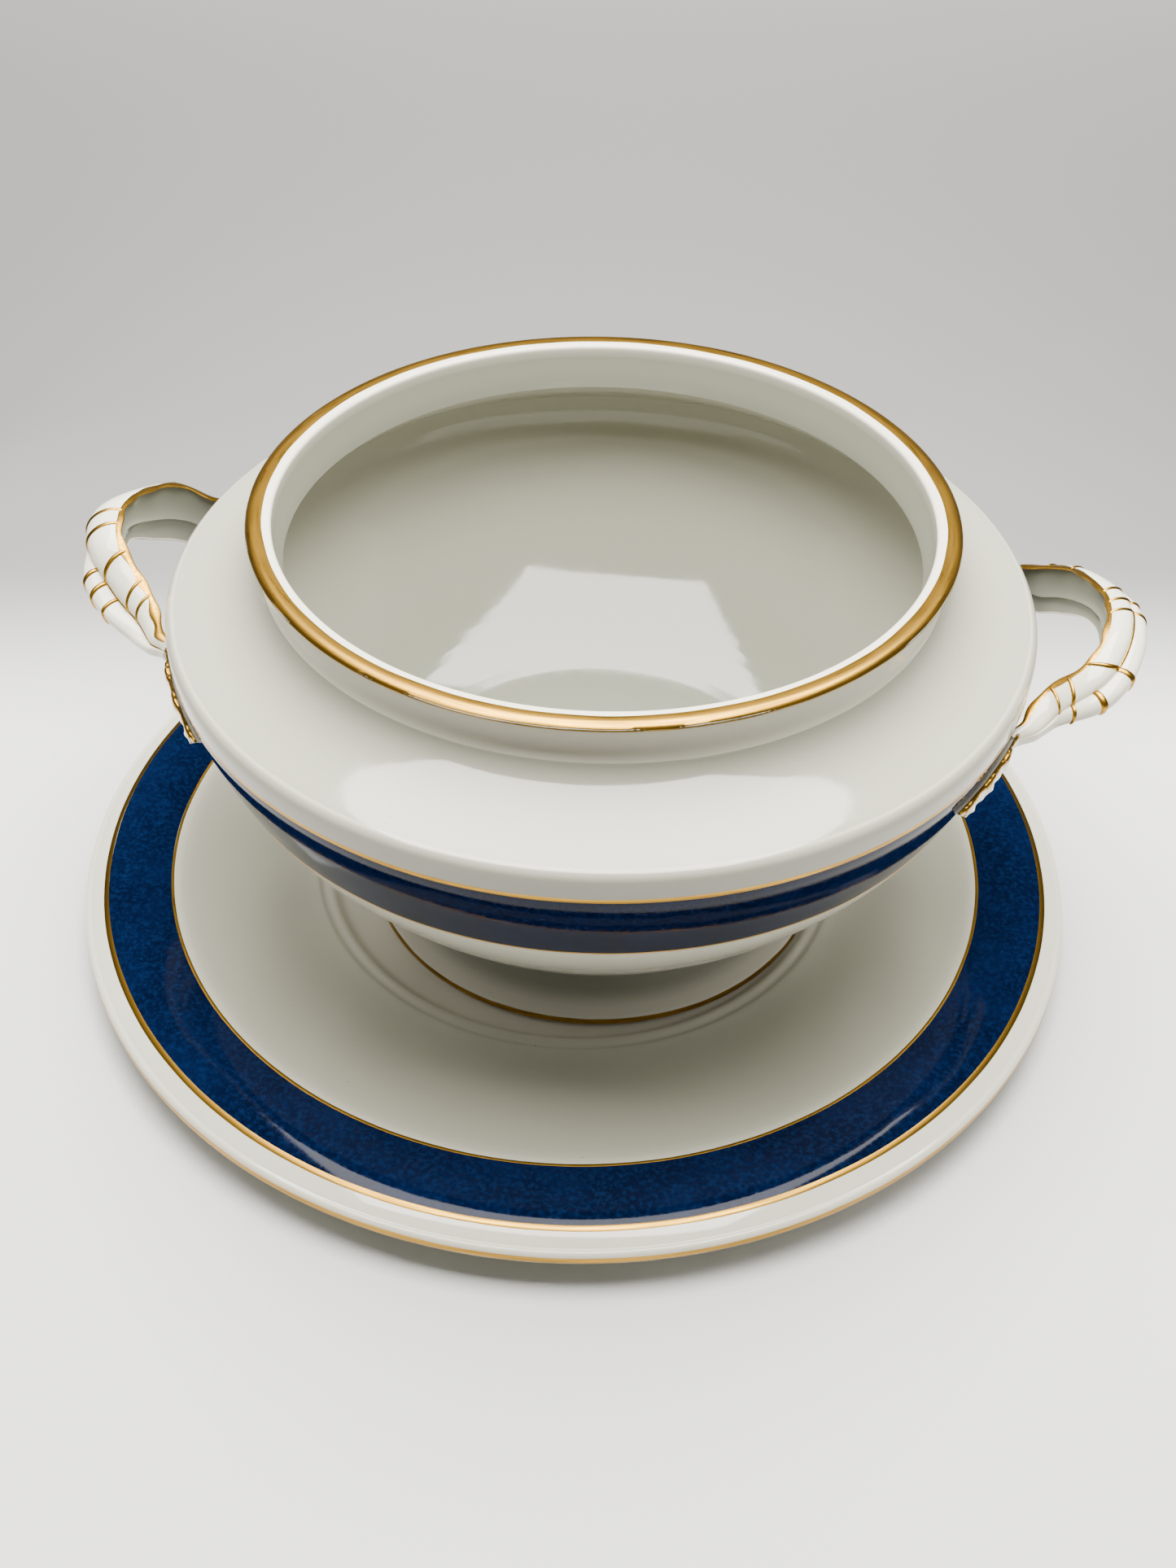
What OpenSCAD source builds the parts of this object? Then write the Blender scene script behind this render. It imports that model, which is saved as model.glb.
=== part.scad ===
// Soup tureen standing loose on its own round stand.
// The tureen is a thrown bowl with a collar, a pedestal foot and two handles of paired reeds;
// each handle is tied with rings of clay and ends in leaves laid over the bowl.
// Millimetres, +Z up. The origin is the middle of the stand's foot ring, on the table.
// The handles lie along X; +Y is the back.

/* [Stand] */
// Outer radius of the stand
stand_r = 174; // [165:0.5:190]
// Height of the crest of the stand's rim above the table
stand_h = 20.9; // [19:0.1:24]
// Radius of the flat well that the tureen's foot stands in
well_r = 89.5; // [88:0.5:94]
// Height of the flat of the well above the table
well_h = 10.3; // [9:0.1:12]
// Outer radius of the foot ring under the stand
stand_foot_r = 103; // [98:1:108]
// Width of the foot ring under the stand
stand_foot_w = 6; // [4:0.5:8]

/* [Tureen] */
// Height of the tureen from foot to rim
tureen_h = 153; // [150:0.5:158]
// Greatest radius, at the shoulder
body_r = 136.6; // [135.4:0.2:140]
// Outer radius of the rolled rim
rim_r = 109; // [107:0.5:111]
// Radius of the rim's roll
roll_r = 2.9; // [2.5:0.1:3.5]
// Inner radius of the mouth at the bottom of the collar
mouth_r = 99; // [96:0.5:101]
// Radius of the pedestal foot
foot_r = 78.5; // [76:0.5:80]
// Thickness of the bowl's wall
wall = 5.6; // [5:0.2:7]
// How far the tureen stands from the middle of its stand, along the handles
set_down_x = 7; // [-7:0.5:7]
// How far the tureen stands from the middle of its stand, across the handles
set_down_y = -1.9; // [-3:0.1:3]
// Gap left between the foot and the well
rest_gap = 0.3; // [0.2:0.1:0.5]

/* [Handles] */
// Distance of the handle's inner top edge from the tureen's axis, where it reaches furthest
ridge_reach = 156; // [152:0.5:158]
// Height of that edge above the tureen's foot
ridge_top = 134; // [130:0.5:138]
// Height at which that edge meets the bowl
ridge_root = 114; // [110:0.5:116]
// Half thickness of a reed, measured outwards
reed_out = 4.8; // [4:0.2:5.4]
// Half height of a reed
reed_up = 5.8; // [5:0.1:6.2]
// Drop from the upper reed to the lower one
reed_drop = 10; // [9:0.25:11]
// How much smaller the handle is at its roots than at its outermost point
root_taper = 0.5; // [0.3:0.05:0.6]
// Radius of the rings of clay that tie the reeds
tie_r = 1; // [0.8:0.1:1.6]
// Direction of each leaf's root, in degrees from the handle's middle
leaf_from = 17; // [15:1:20]
// Direction of each leaf's tip, in degrees from the handle's middle
leaf_to = 32; // [28:1:36]
// Half width of a leaf
leaf_half = 7; // [5:0.5:9]
// Thickness of a leaf above the bowl's wall
leaf_thick = 3.8; // [1.5:0.1:4.5]

/* [Hidden] */

$fn = 96;
glaze = [0.93, 0.92, 0.88];
glaze_shade = [0.86, 0.85, 0.80];
gilt = [0.80, 0.60, 0.28];

// Height of the joint between bowl and collar, and of the bowl's underside, above the tureen's foot
collar_z = tureen_h - 15.1;
bowl_floor_z = 26.2;
// Sides of a reed's section, stations along a reed, and sides of a tie
reed_sides = 16;
reed_steps = 40;
tie_sides = 8;
tie_steps = 28;
// How deep the luted pieces sit in the clay that they are pressed onto
lute = 0.8;

// Curves ---------------------------------------------------------------

// Point at t on the cubic curve from a to d with the handles b and c
function on_curve(a, b, c, d, t) =
    pow(1 - t, 3) * a + 3 * pow(1 - t, 2) * t * b + 3 * (1 - t) * t * t * c + pow(t, 3) * d;

// The same curve as n + 1 points
function curve(a, b, c, d, n = 10) = [for (i = [0:n]) on_curve(a, b, c, d, i / n)];

// Arc of radius r about [x, z], from angle a0 to a1
function arc(x, z, r, a0, a1, n = 8) =
    [for (i = [0:n]) let (a = a0 + (a1 - a0) * i / n) [x + r * cos(a), z + r * sin(a)]];

function unit(v) = v / norm(v);

// Closed skin over rings of equal length: the first and last rings are capped, or joined if loop is true
module skin(rings, loop = false) {
    count = len(rings);
    sides = len(rings[0]);
    spans = loop ? count : count - 1;
    walls = [for (i = [0:spans - 1], j = [0:sides - 1])
        let (i2 = (i + 1) % count, j2 = (j + 1) % sides)
        [i * sides + j, i * sides + j2, i2 * sides + j2, i2 * sides + j]];
    caps = loop ? [] : [[for (j = [sides - 1:-1:0]) j], [for (j = [0:sides - 1]) (count - 1) * sides + j]];
    polyhedron(points = [for (ring = rings, p = ring) p], faces = concat(walls, caps), convexity = 6);
}

// Stand ----------------------------------------------------------------

// Outline of the stand: well, step, slope, domed rim, gilt edge, underside and foot ring
stand_outline = concat(
    [[0, well_h]],
    curve([well_r - 1.5, well_h], [well_r + 0.8, well_h],
          [well_r + 1.2, well_h + 1.6], [well_r + 4, well_h + 1.9], 6),
    curve([well_r + 8, well_h + 2.1], [well_r + 26, well_h + 2.6],
          [well_r + 42, well_h + 6.2], [144, stand_h - 1.8], 12),
    curve([150, stand_h - 0.9], [158, stand_h + 0.2],
          [165, stand_h + 0.2], [stand_r - 2.2, stand_h - 3.7], 10),
    arc(stand_r - 1.8, stand_h - 5.4, 1.8, 70, 0, 5),
    arc(stand_r - 1.8, stand_h - 7.2, 1.8, 0, -90, 4),
    curve([160, stand_h - 7.4], [146, stand_h - 8.2],
          [130, stand_h - 14], [stand_foot_r + 7, 5.2], 10),
    curve([stand_foot_r + 3, 4.6], [stand_foot_r, 3.6],
          [stand_foot_r, 1.6], [stand_foot_r - 1, 0], 5),
    [[stand_foot_r - stand_foot_w, 0]],
    curve([stand_foot_r - stand_foot_w - 0.6, 1.6], [stand_foot_r - stand_foot_w - 1, 4],
          [stand_foot_r - stand_foot_w - 2, 4.8], [stand_foot_r - stand_foot_w - 5, 4.8], 5),
    [[0, 4.8]]);

module stand_dish() {
    color(glaze) rotate_extrude() polygon(stand_outline);
}

// Tureen ---------------------------------------------------------------

// Moves a piece from the tureen's own frame, foot at zero, to where the tureen stands
module stood() {
    translate([set_down_x, set_down_y, well_h + rest_gap]) children();
}

// Outside of the bowl from its underside to the collar
bowl_lower = curve([66, bowl_floor_z], [79, bowl_floor_z + 0.2], [84.5, 30.7], [91.2, 38.4], 8);
bowl_side = curve([91.2, 38.4], [103.4, 52.4], [117.3, 71], [124.6, 85.8], 10);
bowl_upper = curve([124.6, 85.8], [129.8, 96.3], [body_r, 108.5], [body_r, 120], 10);
bowl_edge = curve([body_r, 120], [body_r, 123.2], [body_r - 0.8, 124.8], [body_r - 3.6, 125.7], 6);
shoulder = curve([body_r - 3.6, 125.7], [124, 128.6], [111, 130], [106, collar_z], 12);
bowl_outside = concat(bowl_lower, bowl_side, bowl_upper, bowl_edge, shoulder);

// Inside of the bowl from the collar down to the floor
under_shoulder = curve([mouth_r + 0.4, collar_z], [106, 128], [121, 126], [body_r - wall - 4.6, 120.6], 10);
belly = curve([body_r - wall - 1.4, 117.4], [body_r - wall, 110], [127, 98], [119.4, 86.4], 10);
inside_low = curve([119.4, 86.4], [107, 65], [90, 43.5], [60, 36.2], 12);
bowl_inside = concat(under_shoulder, belly, inside_low, [[30, 33.3], [0, 32.7]]);

module tureen_bowl() {
    color(glaze) stood() rotate_extrude() polygon(concat([[0, bowl_floor_z]], bowl_outside, bowl_inside));
}

// Collar: hollow-sided ring with a rolled rim outside and a thin lip inside
roll_x = rim_r - roll_r;
roll_z = tureen_h - roll_r;
collar_outline = concat(
    curve([106, collar_z], [103.8, collar_z + 3], [103.4, roll_z - 6], [103.8, roll_z - 3.2], 6),
    arc(roll_x, roll_z, roll_r, -126, 96, 18),
    [[103.6, tureen_h - 0.7]],
    arc(102.6, tureen_h - 2, 1.3, 90, 180, 5),
    curve([101.1, tureen_h - 4], [100.4, tureen_h - 7], [mouth_r + 0.2, collar_z + 4], [mouth_r, collar_z], 6));

module tureen_collar() {
    color(glaze) stood() rotate_extrude() polygon(collar_outline);
}

// Hollow pedestal foot with a thick rounded edge
foot_outline = concat(
    curve([64, bowl_floor_z], [60, 20], [59, 11.5], [69, 7], 10),
    curve([70, 6.6], [73, 5.3], [75, 5], [foot_r - 1.2, 3.8], 5),
    arc(foot_r - 2, 2, 2, 40, -90, 6),
    [[foot_r - 8, 0]],
    curve([foot_r - 9, 0.6], [62, 2.6], [54, 7], [53, bowl_floor_z], 8));

module tureen_foot() {
    color(glaze_shade) stood() rotate_extrude() polygon(foot_outline);
}

// Handles --------------------------------------------------------------

// Half of the handle's inner top edge, from its root in the bowl's wall to its outermost point
ridge_half = [[125.5, 42.5, ridge_root], [147, 29, ridge_root + 13], [ridge_reach, 21, ridge_top],
              [ridge_reach, 0, ridge_top]];

// Point at s on that edge: -1 is the front root, 0 the outermost point, 1 the back root
function on_ridge(s) = let (p = on_curve(ridge_half[0], ridge_half[1], ridge_half[2], ridge_half[3], 1 - abs(s)))
    [p.x, s < 0 ? -p.y : p.y, p.z];

// Level direction square to the handle at s, pointing away from the bowl
function outward(s) = let (
        step = 0.01,
        along = on_ridge(min(s + step, 1)) - on_ridge(max(s - step, -1)))
    unit([along.y, -along.x, 0]);

// Size of the handle at s, as a share of its size at the outermost point
function taper(s) = 1 - root_taper * pow(abs(s), 4);

// Middle line of a reed at s: the lower reed bows out at the middle and tucks in and up towards the roots
function on_reed(lower, s) = let (
        bow = lower ? 7 - 4 * pow(abs(s), 1.5) : reed_out,
        drop = 6 + (lower ? reed_drop * (1 - 0.25 * s * s) : 0))
    on_ridge(s) + taper(s) * (bow * outward(s) - [0, 0, drop]);

// Reed's section at s: an ellipse with a slightly hollow inner face
function reed_ring(lower, s) = let (middle = on_reed(lower, s), out = outward(s), size = taper(s))
    [for (j = [0:reed_sides - 1]) let (
            a = 360 * j / reed_sides,
            hollow = cos(a) < 0 ? 1 - 0.28 * pow(cos(a), 4) : 1)
        middle + size * (reed_out * hollow * cos(a) * out + [0, 0, reed_up * sin(a)])];

module reed(lower) {
    skin([for (i = [0:reed_steps]) reed_ring(lower, 1 - 2 * i / reed_steps)]);
}

// Ring of clay around both reeds at s, which leans along the handle from top to bottom
function tie_middle(s, a, lean) = let (
        top = on_reed(false, s),
        low = on_reed(true, s),
        centre = (top + low) / 2,
        out = outward(s),
        along = [-out.y, out.x, 0],
        half_width = taper(s) * (reed_out + 0.3) + norm([top.x - low.x, top.y - low.y]) / 2,
        half_height = taper(s) * reed_up + (top.z - low.z) / 2)
    centre + half_width * cos(a) * out + half_height * sin(a) * [0, 0, 1] + lean * sin(a) * along;

module tie(s, lean) {
    skin([for (i = [0:tie_steps - 1]) let (
            a = 360 * i / tie_steps,
            p = tie_middle(s, a, lean),
            tangent = unit(tie_middle(s, a + 2, lean) - tie_middle(s, a - 2, lean)),
            side = unit(cross(tangent, p - tie_middle(s, a + 180, lean))),
            up = cross(side, tangent))
        [for (j = [0:tie_sides - 1]) let (b = 360 * j / tie_sides)
            p + tie_r * cos(b) * side + tie_r * sin(b) * up]], loop = true);
}

// Two upright ties near the outermost point, and a slanting one at each corner
module reed_ties() {
    for (t = [[0.24, 0], [0.1, 0], [-0.45, 4], [0.45, -4]]) tie(t[0], t[1]);
}

// Radius of the bowl's outside at height z
bowl_radii = [for (p = concat(bowl_side, bowl_upper)) [p.y, p.x]];
function bowl_radius(z) = lookup(z, bowl_radii);

// Leaf's section at u, 0 at its root and 1 at its tip: a low crown over the bowl, with a notched edge.
// side is -1 for the front leaf and 1 for the back one.
leaf_steps = 20;
leaf_sides = 12;
leaf_root_z = 112;
leaf_fall = 13;
function leaf_half_width(u) = leaf_half * pow(sin(20 + 155 * u), 0.8) * (1 + 0.13 * abs(sin(900 * u)));
function leaf_point(side, u, v, rise) = let (
        z = leaf_root_z - leaf_fall * u + v * leaf_half_width(u) * 0.9,
        turn = side * (leaf_from + (leaf_to - leaf_from) * u + v * leaf_half_width(u) * 0.19),
        r = bowl_radius(z) + rise)
    [r * cos(turn), r * sin(turn), z];
function leaf_ring(side, u) = concat(
    [for (j = [0:leaf_sides]) let (v = -1 + 2 * j / leaf_sides)
        leaf_point(side, u, v, leaf_thick * sqrt(1 - 0.8 * v * v) * (1 - 0.35 * u))],
    [for (j = [leaf_sides:-1:0]) leaf_point(side, u, -1 + 2 * j / leaf_sides, -lute)]);

module leaf(side) {
    rings = [for (i = [0:leaf_steps]) leaf_ring(side, i / leaf_steps)];
    skin(side > 0 ? rings : [for (i = [leaf_steps:-1:0]) rings[i]]);
}

// Places a handle's piece: the right handle is along +X, and the left one is its turned copy
module right_handle() {
    stood() children();
}

module left_handle() {
    stood() rotate([0, 0, 180]) children();
}

module right_upper_reed() { color(glaze) right_handle() reed(false); }
module right_lower_reed() { color(glaze_shade) right_handle() reed(true); }
module right_reed_ties() { color(gilt) right_handle() reed_ties(); }
module right_front_leaf() { color(glaze) right_handle() leaf(-1); }
module right_back_leaf() { color(glaze) right_handle() leaf(1); }

module left_upper_reed() { color(glaze) left_handle() reed(false); }
module left_lower_reed() { color(glaze_shade) left_handle() reed(true); }
module left_reed_ties() { color(gilt) left_handle() reed_ties(); }
module left_front_leaf() { color(glaze) left_handle() leaf(1); }
module left_back_leaf() { color(glaze) left_handle() leaf(-1); }

stand_dish();
tureen_bowl();
tureen_collar();
tureen_foot();
left_upper_reed();
left_lower_reed();
left_reed_ties();
left_front_leaf();
left_back_leaf();
right_upper_reed();
right_lower_reed();
right_reed_ties();
right_front_leaf();
right_back_leaf();
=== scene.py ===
import bpy
import numpy as np
from bpy.props import FloatProperty, FloatVectorProperty, PointerProperty
from bpy.types import Operator, Panel, PropertyGroup
from mathutils import Matrix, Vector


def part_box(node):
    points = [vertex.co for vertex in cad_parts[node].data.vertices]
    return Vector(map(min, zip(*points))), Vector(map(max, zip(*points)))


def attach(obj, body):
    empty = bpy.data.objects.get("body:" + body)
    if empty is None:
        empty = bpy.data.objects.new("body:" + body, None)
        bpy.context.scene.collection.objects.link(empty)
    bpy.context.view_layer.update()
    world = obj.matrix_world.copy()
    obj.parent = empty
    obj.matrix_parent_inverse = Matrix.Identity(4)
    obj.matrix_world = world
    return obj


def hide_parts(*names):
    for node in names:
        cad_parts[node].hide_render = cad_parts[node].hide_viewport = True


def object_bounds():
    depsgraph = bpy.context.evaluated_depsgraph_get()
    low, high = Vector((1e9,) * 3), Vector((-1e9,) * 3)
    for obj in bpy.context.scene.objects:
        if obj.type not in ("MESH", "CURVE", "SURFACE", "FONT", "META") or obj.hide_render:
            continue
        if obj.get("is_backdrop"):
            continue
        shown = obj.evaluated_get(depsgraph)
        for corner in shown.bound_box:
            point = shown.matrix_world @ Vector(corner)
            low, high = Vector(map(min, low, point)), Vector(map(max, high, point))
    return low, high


bl_info = {
    "name": "Soup Tureen on its Stand",
    "version": (1, 0, 0),
    "blender": (4, 5, 0),
    "location": "3D View > Sidebar > Tureen",
    "description": "Builds a glazed and gilded soup tureen, its stand and a plain studio round them",
    "category": "Add Mesh",
}

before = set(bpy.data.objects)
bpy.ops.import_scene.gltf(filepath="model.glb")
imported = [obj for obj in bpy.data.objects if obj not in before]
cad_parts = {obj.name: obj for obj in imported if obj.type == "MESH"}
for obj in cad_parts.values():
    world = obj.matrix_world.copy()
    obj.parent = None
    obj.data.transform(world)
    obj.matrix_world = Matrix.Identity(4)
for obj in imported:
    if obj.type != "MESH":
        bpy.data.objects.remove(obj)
CAD_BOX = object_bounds()

# Shapes are worked out in millimetres, and the meshes are in metres.
MM = 0.001
STAND_BOX = np.array(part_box("stand_dish")) / MM
COLLAR_BOX = np.array(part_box("tureen_collar")) / MM
FOOT_BOX = np.array(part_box("tureen_foot")) / MM
# Where the tureen stands: the middle of its collar, and the underside of its foot
STOOD = np.array([*COLLAR_BOX.mean(axis=0)[:2], FOOT_BOX[0][2]])
TUREEN_HEIGHT = float(COLLAR_BOX[1][2] - FOOT_BOX[0][2])
RIM_RADIUS = float(COLLAR_BOX[1][0] - COLLAR_BOX[0][0]) / 2


# Colours and settings -------------------------------------------------


def linear(hex_colour):
    """sRGB hex to linear RGB: the low end divided by 12.92, the rest ((c + 0.055) / 1.055) to the power 2.4."""
    c = np.array([int(hex_colour[i : i + 2], 16) for i in (1, 3, 5)]) / 255.0
    return tuple(np.where(c <= 0.04045, c / 12.92, ((c + 0.055) / 1.055) ** 2.4).tolist())


def length(name, description, default, low, high):
    """A length in metres, given here in millimetres."""
    return FloatProperty(
        name=name, description=description, default=default * MM, min=low * MM, max=high * MM,
        unit="LENGTH", precision=4)


def colour(name, description, default):
    """A colour, given here as sRGB hex."""
    return FloatVectorProperty(
        name=name, description=description, default=linear(default), min=0.0, max=1.0,
        subtype="COLOR", size=3)


class StandSettings(PropertyGroup):
    """Sizes of the stand and its bands."""

    radius: length("Radius", "Outer radius of the stand", float(STAND_BOX[1][0]), 165, 190)
    crest: length("Rim height", "Height of the rim above the table", 20.9, 19, 24)
    well_radius: length("Well radius", "Radius of the flat well", 89.5, 88, 94)
    well_height: length("Well height", "Height of the well above the table", 10.3, 9, 12)
    ring_radius: length("Foot ring radius", "Outer radius of the ring under the stand", 103, 98, 108)
    ring_width: length("Foot ring width", "Width of the ring under the stand", 6, 4, 8)
    band_inner: length("Band inside", "Inner radius of the cobalt band", 143.9, 140, 150)
    line_radius: length("Line radius", "Radius of the gilt line outside the band", 166.7, 160, 170)
    line_width: length("Line width", "Width of the gilt line outside the band", 1.9, 0.4, 3)


class BowlSettings(PropertyGroup):
    """Sizes of the bowl, collar and foot."""

    body_radius: length("Body radius", "Greatest radius of the bowl", 136.6, 130, 145)
    wall: length("Wall", "Thickness of the bowl's wall", 5.6, 5, 7)
    mouth_radius: length("Mouth radius", "Inner radius at the bottom of the collar", 99, 96, 101)
    roll_width: length("Roll width", "Width of the rim's flattened roll", 5.0, 4, 6)
    roll_height: length("Roll height", "Height of the rim's flattened roll", 2.7, 2, 5)
    foot_radius: length("Foot radius", "Radius of the pedestal foot", 79.4, 76, 80)
    band_top: length("Band top", "Height of the cobalt band's upper edge above the foot", 115.6, 110, 118)
    band_bottom: length("Band bottom", "Height of the cobalt band's lower edge above the foot", 86.0, 80, 95)
    upper_line: length("Upper line", "Width of the gilt line over the band", 1.5, 0.4, 3)
    lower_line: length("Lower line", "Width of the gilt line under the band", 0.6, 0.3, 2)


class HandleSettings(PropertyGroup):
    """Sizes of the gilding and leaves on the handles."""

    edge: length("Edge gilding", "Half width of the gilding on the handle's inner top edge", 1.5, 0.4, 2.5)
    ring: length("Ring gilding", "Half width of a gilded ring", 0.65, 0.3, 1.2)
    ring_rise: length("Ring rise", "How far a ring stands up from its reed", 0.45, 0.1, 1)
    leaf_width: length("Leaf width", "Width of a leaf", 11.5, 6, 14)
    leaf_rise: length("Leaf rise", "How far a leaf stands up from the bowl", 3.4, 1, 5)


class FinishSettings(PropertyGroup):
    """Colours of the clay, the bands and the gilding."""

    glaze: colour("Glaze", "Off-white of the glazed clay", "#CFCBB9")
    # Darker, greener glaze: partly glaze lying thick, partly painted shade in hollows, under the bowl and on
    # inner faces
    pooled_and_shaded: colour("Pooled glaze", "Colour of the glaze where it lies thick", "#757668")
    cobalt: colour("Cobalt", "Deep blue of the bands", "#030B22")
    gold: colour("Gold", "Gilding where it is whole", "#D2A03C")
    floor: colour("Floor", "Table top", "#D2D2CF")


class StageSettings(PropertyGroup):
    """Camera and lamps."""

    lens: FloatProperty(name="Lens", description="Focal length", default=39.63, unit="CAMERA", min=10, max=200)
    camera_x: length("Camera X", "Camera's place along the handles", 59.5, -2000, 2000)
    camera_y: length("Camera Y", "Camera's place from front to back", -453.1, -2000, 2000)
    camera_z: length("Camera Z", "Camera's height above the table", 448.35, 0, 2000)
    key: FloatProperty(name="Overhead light", description="Power of the light overhead", default=21.5,
                       min=0, max=200, unit="POWER")
    walls: FloatProperty(name="Side light", description="Power of the light from each side", default=1.35,
                         min=0, max=200, unit="POWER")
    far: FloatProperty(name="Far light", description="Power of the light over the far end of the table",
                       default=100.0, min=0, max=500, unit="POWER")
    ambient: FloatProperty(name="Room light", description="Strength of the light from all round", default=0.12,
                           min=0, max=5)
    # fade: how dark the paper is painted at the back, painted shade for a shaded backdrop
    fade: FloatProperty(name="Fade", description="Tone of the paper at the back, against the front",
                        default=0.31, min=0, max=1, subtype="FACTOR")


# Meshes ---------------------------------------------------------------


def bezier(a, b, c, d, n=10, last=True):
    """n + 1 points of the cubic (1-t)^3 a + 3 (1-t)^2 t b + 3 (1-t) t^2 c + t^3 d, on the last axis but one."""
    a, b, c, d = (np.asarray(v, float)[..., None, :] for v in (a, b, c, d))
    t = np.linspace(0.0, 1.0, n + 1)[: None if last else -1, None]
    return (1 - t) ** 3 * a + 3 * (1 - t) ** 2 * t * b + 3 * (1 - t) * t * t * c + t**3 * d


def arc(x, z, radius, start, end, n=12):
    """n + 1 points of a circle about (x, z), from angle start to end in degrees."""
    a = np.radians(np.linspace(start, end, n + 1))
    return np.stack([x + radius * np.cos(a), z + radius * np.sin(a)], -1)


def smooth(x, low, high):
    """0 below low, 1 above high, and 3t^2 - 2t^3 between them."""
    t = np.clip((x - low) / (high - low), 0.0, 1.0)
    return t * t * (3.0 - 2.0 * t)


def run(points):
    """Distance along a line of points, from its first."""
    return np.concatenate([[0.0], np.cumsum(np.linalg.norm(np.diff(points, axis=0), axis=1))])


def spaced(points, step=3.2, turn=6.0):
    """The same line with a point each time that length / step + turning / turn has grown by one."""
    fine = np.linspace(0.0, 1.0, 12 * len(points))
    at = run(points) / run(points)[-1]
    line = np.stack([np.interp(fine, at, points[:, k]) for k in (0, 1)], -1)
    edge = np.diff(line, axis=0)
    heading = np.degrees(np.unwrap(np.arctan2(edge[:, 1], edge[:, 0])))
    cost = np.linalg.norm(edge, axis=1) / step + np.abs(np.diff(heading, append=heading[-1])) / turn
    total = np.concatenate([[0.0], np.cumsum(cost)])
    pick = np.linspace(0.0, total[-1], int(total[-1]) + 2)
    return np.stack([np.interp(pick, total, line[:, k]) for k in (0, 1)], -1)


def piece(name, points, faces, body, nodes, material, slot, sharp=32.0, pool_and_shade=None):
    """Makes a mesh object from points in millimetres. A closed mesh whose signed volume is negative is turned
    inside out first, so its faces point outwards. pool_and_shade says how dark and green the glaze is at each
    point: partly thick glaze, partly painted shade."""
    v = np.asarray(points, float).reshape(-1, 3) * MM
    volume = 0.0
    for f in faces:
        a = v[f[:, 0]]
        for k in range(1, f.shape[1] - 1):
            volume += np.einsum("ij,ij->i", a, np.cross(v[f[:, k]], v[f[:, k + 1]])).sum()
    if volume < 0:
        faces = [f[:, ::-1] for f in faces]
    mesh = bpy.data.meshes.new(name)
    corners = np.concatenate([f.ravel() for f in faces]).astype(np.int32)
    sizes = np.concatenate([np.full(len(f), f.shape[1]) for f in faces])
    mesh.vertices.add(len(v))
    mesh.vertices.foreach_set("co", v.ravel())
    mesh.loops.add(len(corners))
    mesh.loops.foreach_set("vertex_index", corners)
    mesh.polygons.add(len(sizes))
    mesh.polygons.foreach_set("loop_start", np.concatenate([[0], np.cumsum(sizes)[:-1]]).astype(np.int32))
    mesh.update(calc_edges=True)
    # Darker, greener glaze per point: partly thick glaze, partly painted shade
    if pool_and_shade is not None:
        values = mesh.attributes.new("pool_and_shade", "FLOAT", "POINT").data
        values.foreach_set("value", np.asarray(pool_and_shade, np.float32).ravel())
    mesh.validate()
    mesh.polygons.foreach_set("use_smooth", np.ones(len(mesh.polygons), bool))
    mesh.set_sharp_from_angle(angle=np.radians(sharp))
    mesh.materials.append(material)
    obj = bpy.data.objects.new(name, mesh)
    bpy.context.scene.collection.objects.link(obj)
    if nodes:
        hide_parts(*nodes)
    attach(obj, body)
    return obj


def grid_faces(rows, columns, wrap_rows=False, wrap_columns=True):
    """Quads of a grid stored row by row, joined round where it wraps."""
    i = np.arange(rows if wrap_rows else rows - 1)
    j = np.arange(columns if wrap_columns else columns - 1)
    i, j = np.meshgrid(i, j, indexing="ij")
    i2, j2 = (i + 1) % rows, (j + 1) % columns
    quads = np.stack([i * columns + j, i * columns + j2, i2 * columns + j2, i2 * columns + j], -1)
    return quads.reshape(-1, 4)


def solid_strip(loops):
    """Points and faces of a closed solid whose sections are loops, an array of stations by points by 3.
    Each end is closed with a fan about its middle."""
    n, m, _ = loops.shape
    points = np.concatenate([loops.reshape(-1, 3), loops[:1].mean(axis=1), loops[-1:].mean(axis=1)])
    j = np.arange(m)
    start = np.stack([np.full(m, n * m), (j + 1) % m, j], -1)
    end = np.stack([np.full(m, n * m + 1), (n - 1) * m + j, (n - 1) * m + (j + 1) % m], -1)
    return points, [grid_faces(n, m), start, end]


# Turned pieces --------------------------------------------------------

AROUND = 400  # facets round a turned piece
THETA = np.linspace(0.0, 2.0 * np.pi, AROUND, endpoint=False)


def waver(seed, waves):
    """A line that drifts round the piece, between about -1 and 1: a sum of cosines of whole numbers of
    waves, each at a random turn and weaker than the one before."""
    turn = np.random.default_rng(seed).uniform(0.0, 2.0 * np.pi, len(waves))
    return sum(np.cos(w * THETA + p) / (1 + 0.5 * k) for k, (w, p) in enumerate(zip(waves, turn))) / 1.6


def thrown(r, z, radius, seed):
    """Radius and height of a turned surface with the small runout of hand throwing: the radius drifts by
    0.12 mm and the height by 0.2 mm over two to five waves round, growing with the cube of the radius."""
    share = (r / radius) ** 3
    return r + 0.12 * share * waver(seed, (2, 3)), z + 0.2 * share * waver(seed + 1, (2, 3, 5))


def spun(r, z, middle):
    """Points at radius r, height z and angle THETA about the upright line through middle."""
    x, y = r * np.cos(THETA), r * np.sin(THETA)
    return np.stack([middle[0] + x, middle[1] + y, middle[2] + z + 0.0 * THETA], -1)


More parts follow.
